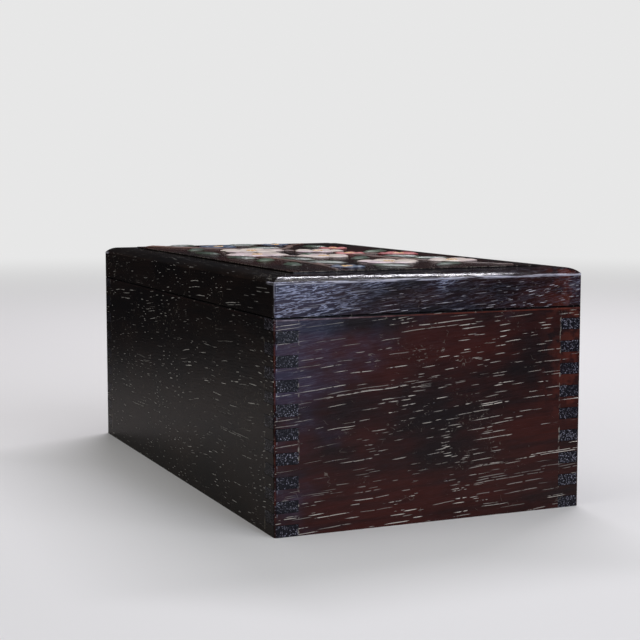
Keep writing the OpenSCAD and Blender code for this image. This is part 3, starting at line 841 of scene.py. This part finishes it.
shell = carved_material("carved_shell", srgb(222, 210, 196), srgb(204, 186, 180), srgb(208, 184, 196), 0.28)
coral = carved_material("carved_coral", srgb(178, 84, 84), srgb(156, 62, 66), srgb(204, 130, 126), 0.30)
lapis = carved_material("carved_blue_stone", srgb(48, 66, 94), srgb(34, 48, 74), srgb(72, 94, 120), 0.30)
jade = carved_material("carved_green_stone", srgb(42, 68, 44), srgb(28, 48, 33), srgb(62, 86, 54), 0.30)
bough = carved_material("carved_bough", srgb(84, 48, 30), srgb(62, 34, 24), srgb(104, 64, 40), 0.40, 0.7)
stamen = carved_material("carved_centre", srgb(196, 150, 76), srgb(172, 124, 58), srgb(212, 170, 100), 0.30)

inlay("white_blossoms", "inlay_white_blossoms", shell, blossom_height, 0.5)
inlay("pink_blossoms", "inlay_pink_blossoms", coral, blossom_height, 0.4)
inlay("blue_blossoms", "inlay_blue_blossoms", lapis, blossom_height, 0.4)
inlay("leaves", "inlay_leaves", jade, leaf_height, 0.4)
inlay("branches", "inlay_branches", bough, branch_height, 0.45)
inlay("blossom_centres", "inlay_centres", stamen, centre_height, 0.22)


# ---- Ink sticks and inkstone ----


def ink_material():
    """Moulded lampblack ink: near black, faintly brown, with a soft polish and a fine grain."""
    g = Graph("ink")
    place = g.place()
    cloud = g.noise(place, (0.06, 0.12, 0.12), 4.0, 0.6)[0]
    body = g.mix(g.fade(cloud, 0.35, 0.7), srgb(22, 21, 22), srgb(40, 36, 34))
    grain = g.noise(place, (1.6, 1.6, 1.6), 3.0, 0.6)[0]
    body = g.mix(g.fade(grain, 0.60, 0.75, 0.0, 0.25), body, srgb(78, 72, 66))
    g.set(base_color=body, roughness=g.fade(grain, 0.3, 0.7, 0.28, 0.42), specular_ior_level=0.45)
    g.set(normal=g.bump(grain, 0.04, 0.5))
    return g.material


def gilding_material():
    """Gold rubbed off its high spots, down to the ink."""
    g = Graph("gilding")
    place = g.place()
    wear = g.noise(place, (0.55, 0.55, 0.55), 4.0, 0.65)[0]
    gold = g.mix(g.fade(wear, 0.35, 0.6), srgb(176, 136, 66), srgb(206, 170, 96))
    rubbed = g.fade(wear, 0.58, 0.66)
    g.set(base_color=g.mix(rubbed, gold, srgb(40, 34, 30)), metallic=0.45)
    g.set(roughness=g.fade(wear, 0.3, 0.7, 0.30, 0.46), normal=g.bump(wear, 0.04, 0.6))
    return g.material


def stone_material():
    """Purple-brown slate with paler bands and specks, stained by ink inside its rim."""
    g = Graph("slate")
    place = g.place()
    height = g.axes(place)[2]
    drift = g.noise(place, (0.02, 0.02, 0.05), 4.0, 0.6)[0]
    body = g.mix(g.fade(drift, 0.35, 0.65), srgb(66, 56, 60), srgb(90, 78, 78))
    band = g.noise(g.turn(place, "Y", 12.0), (0.012, 0.05, 0.45), 3.0, 0.6)[0]
    body = g.mix(g.fade(band, 0.56, 0.66, 0.0, 0.55), body, srgb(104, 102, 92))
    speck = g.fade(g.noise(place, (1.4, 1.4, 1.4), 2.0)[0], 0.66, 0.72)
    body = g.mix(g.times(speck, 0.5), body, srgb(132, 124, 116))

    # The stain covers the well and the grinding face, and ends at a ragged line below the rim
    blot = g.noise(place, (0.07, 0.07, 0.07), 4.0, 0.6)[0]
    ragged = g.math("ADD", g.times(g.math("SUBTRACT", blot, 0.5), 5.0), height)
    stain = g.fade(ragged, STONE_TOP_Z - 1.6, STONE_TOP_Z - 4.4)
    body = g.mix(g.times(stain, 0.92), body, srgb(20, 19, 21))

    fine = g.noise(place, (2.2, 2.2, 2.2), 3.0, 0.6)[0]
    rough = g.math("SUBTRACT", g.fade(fine, 0.3, 0.7, 0.46, 0.60), g.times(stain, 0.14))
    g.set(base_color=body, roughness=rough, specular_ior_level=0.4, normal=g.bump(fine, 0.05, 0.5))
    return g.material


# Sprig on an ink stick, in millimetres and degrees from its middle: blossoms as place along and across it,
# radius and turn; leaves as place, length and direction
STICK_BLOSSOMS = ((-26.0, 1.5, 5.2, 10.0), (2.0, -1.6, 5.8, 50.0), (30.0, 1.8, 4.8, 25.0))
STICK_LEAVES = (
    (-38.0, -3.0, 10.0, 200.0), (-14.0, 4.6, 9.0, 150.0), (-12.0, -4.6, 9.0, 20.0),
    (16.0, 4.4, 10.0, 25.0), (17.0, -4.4, 9.0, 160.0), (41.0, -2.0, 9.0, -20.0),
)
STICK_BRANCH = ((-46.0, -3.0), (-26.0, 1.0), (2.0, -1.5), (30.0, 1.5), (45.0, 4.0))
STICK_BRANCH_W = 1.5

# A petal's radius as a share of its blossom's, and half a leaf's width as a share of its length
PETAL_SHARE = 0.42
LEAF_SHARE = 0.17

# Points round a blossom, along one side of a leaf and along a branch, and how often the branch is smoothed
BLOSSOM_POINTS = 90
LEAF_POINTS = 24
BRANCH_POINTS = 60
BRANCH_SMOOTHINGS = 12

# How deep the gilding reaches into the ink, and the step of its net, in millimetres
GILDING_FOOT = 0.1
GILDING_STEP = 0.5

STICK_BODIES = {
    "ink_stick_front": "front_stick", "ink_stick_middle": "middle_stick", "ink_stick_back": "back_stick",
}


def blossom_outline(x, y, radius, turn):
    """The outline of five round petals."""
    petal = PETAL_SHARE * radius
    ring = radius - petal
    pitch = math.tau / PETALS
    points = []
    for angle in np.linspace(0, math.tau, BLOSSOM_POINTS, endpoint=False):
        side = (angle + pitch / 2) % pitch - pitch / 2
        reach = ring * math.cos(side) + math.sqrt(petal ** 2 - (ring * math.sin(side)) ** 2)
        heading = angle + math.radians(turn)
        points.append((x + reach * math.cos(heading), y + reach * math.sin(heading)))
    return np.array(points)


def leaf_outline(x, y, length, turn):
    """A pointed oval."""
    along = np.concatenate((np.linspace(-1, 1, LEAF_POINTS), np.linspace(1, -1, LEAF_POINTS)[1:-1]))
    across = np.where(np.arange(len(along)) < LEAF_POINTS, 1, -1) * (1 - along ** 2) * LEAF_SHARE
    heading = math.radians(turn)
    turned = np.array(((math.cos(heading), -math.sin(heading)), (math.sin(heading), math.cos(heading))))
    return np.array((x, y)) + np.column_stack((along * length / 2, across * length)) @ turned.T


def branch_outline(points, width):
    """A strip along a line of points, smoothed between them, that tapers from a width."""
    given = np.array(points)
    share = np.linspace(0, len(given) - 1, BRANCH_POINTS)
    line = np.column_stack([np.interp(share, range(len(given)), given[:, k]) for k in (0, 1)])
    for _ in range(BRANCH_SMOOTHINGS):
        line[1:-1] = (line[:-2] + 2 * line[1:-1] + line[2:]) / 4
    way = np.gradient(line, axis=0)
    normal = np.column_stack((-way[:, 1], way[:, 0])) / np.hypot(way[:, 0], way[:, 1])[:, None]
    half = np.linspace(width / 2, width / 5, len(line))[:, None]
    return np.vstack((line + normal * half, (line - normal * half)[::-1]))


def gilding_height(points, loops):
    """A low relief with rounded edges."""
    return 0.12 + 0.30 * smooth(edge_distance(points, loops), 0.0, 0.9)


def gild(node_name, body, material):
    """A gilt sprig in relief on the sunk upper face of an ink stick."""
    low, high = (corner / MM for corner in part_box(node_name))
    middle = np.array(((low.x + high.x) / 2, (low.y + high.y) / 2))
    loops = [branch_outline(STICK_BRANCH, STICK_BRANCH_W)]
    loops += [leaf_outline(*leaf) for leaf in STICK_LEAVES]
    loops += [blossom_outline(*blossom) for blossom in STICK_BLOSSOMS]
    islands = [[loop + middle] for loop in loops]
    face_z = high.z - STICK_FACE_D
    foot_z = face_z - GILDING_FOOT
    piece = carved_piece("gilding_" + body, islands, gilding_height, GILDING_STEP, foot_z, face_z, material)
    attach(piece, body)


ink = ink_material()
gold = gilding_material()
for node_name, body in STICK_BODIES.items():
    finish_node(node_name, ink, EASED_STICKS)
    gild(node_name, body, gold)
finish_node("inkstone", stone_material(), EASED_STONE)


# ---- Floor, lamps and backdrop ----

# Seen by the camera, and met by every other ray
FLOOR_SEEN = (0.74, 0.73, 0.72)
# The floor that other rays meet is painted dim near the box and near black farther off: a painted pool of
# light for the box to reflect
FLOOR_UNSEEN = (0.20, 0.187, 0.178)
WORLD_SEEN = (0.80, 0.80, 0.80)
WORLD_UNSEEN = (0.012, 0.012, 0.014)

# Half of the floor's side, in metres
FLOOR_HALF = 8.0

# Where the floor turns into the backdrop, and the unseen floor turns dark, in millimetres from its middle
BACKDROP_STARTS = 350.0
BACKDROP_FULL = 1500.0
DARK_STARTS = 90.0
DARK_FULL = 480.0

# The point that the lamps face, in metres
LAMPS_AT = (0.0, 0.0, 0.05)


def floor_material():
    """A pale floor that takes the box's shadow near it, and turns into the plain backdrop far from it."""
    g = Graph("floor")
    seen = g.node("ShaderNodeLightPath").outputs["Is Camera Ray"]
    reach = g.vector("LENGTH", g.place())
    # A painted pool of light near the box, fading to near black, seen only in reflections and bounced light
    unseen = g.mix(g.fade(reach, DARK_STARTS, DARK_FULL), FLOOR_UNSEEN, WORLD_UNSEEN)
    g.set(base_color=g.mix(seen, unseen, FLOOR_SEEN), roughness=0.9, specular_ior_level=0.1)
    glow = g.node("ShaderNodeEmission", (g.mix(seen, WORLD_UNSEEN, WORLD_SEEN), 1.0))
    far = g.fade(reach, BACKDROP_STARTS, BACKDROP_FULL)
    blend = g.node("ShaderNodeMixShader", (far, g.shader.outputs[0], glow.outputs[0]))
    g.feed(g.tree.nodes["Material Output"].inputs["Surface"], blend.outputs[0])
    return g.material


def add_floor():
    """The floor, as a stage that isn't part of the object."""
    mesh = bpy.data.meshes.new("floor")
    corners = [(x * FLOOR_HALF, y * FLOOR_HALF, 0.0) for x, y in ((-1, -1), (1, -1), (1, 1), (-1, 1))]
    mesh.from_pydata(corners, [], [(0, 1, 2, 3)])
    mesh.materials.append(floor_material())
    floor = bpy.data.objects.new("floor", mesh)
    bpy.context.scene.collection.objects.link(floor)


def add_world():
    """The plain backdrop beyond the floor."""
    world = bpy.data.worlds.new("studio")
    world.use_nodes = True
    bpy.context.scene.world = world
    tree = world.node_tree
    path = tree.nodes.new("ShaderNodeLightPath")
    shade = tree.nodes.new("ShaderNodeMix")
    shade.data_type = "RGBA"
    shade.inputs[6].default_value = (*WORLD_UNSEEN, 1.0)
    shade.inputs[7].default_value = (*WORLD_SEEN, 1.0)
    tree.links.new(path.outputs["Is Camera Ray"], shade.inputs[0])
    tree.links.new(shade.outputs[2], tree.nodes["Background"].inputs["Color"])


def softbox(name, place, width, height, power, tint=(1.0, 1.0, 1.0)):
    """An area lamp that faces the box: its place and size in metres, its power in watts and its colour."""
    lamp = bpy.data.lights.new(name, "AREA")
    lamp.shape = "RECTANGLE"
    lamp.size = width
    lamp.size_y = height
    lamp.energy = power
    lamp.color = tint
    made = bpy.data.objects.new(name, lamp)
    made.visible_camera = False
    made.location = place
    made.rotation_euler = (Vector(LAMPS_AT) - Vector(place)).to_track_quat("-Z", "Y").to_euler()
    bpy.context.scene.collection.objects.link(made)


add_floor()
softbox("back_box", (-0.56, 0.43, 0.93), 0.80, 0.09, 7.2, (0.95, 0.93, 1.0))
softbox("overhead_box", (0.1, -0.1, 1.5), 1.6, 1.6, 12.0)
softbox("key_box", (0.90, 0.42, 0.72), 0.90, 0.80, 4.8, (0.94, 0.96, 1.0))
softbox("low_box", (1.05, 0.15, 0.20), 0.24, 0.20, 2.8, (0.72, 0.80, 1.0))
softbox("left_box", (0.1, -1.2, 0.8), 0.8, 0.8, 2.2)
add_world()
bpy.context.scene.view_settings.view_transform = "Standard"
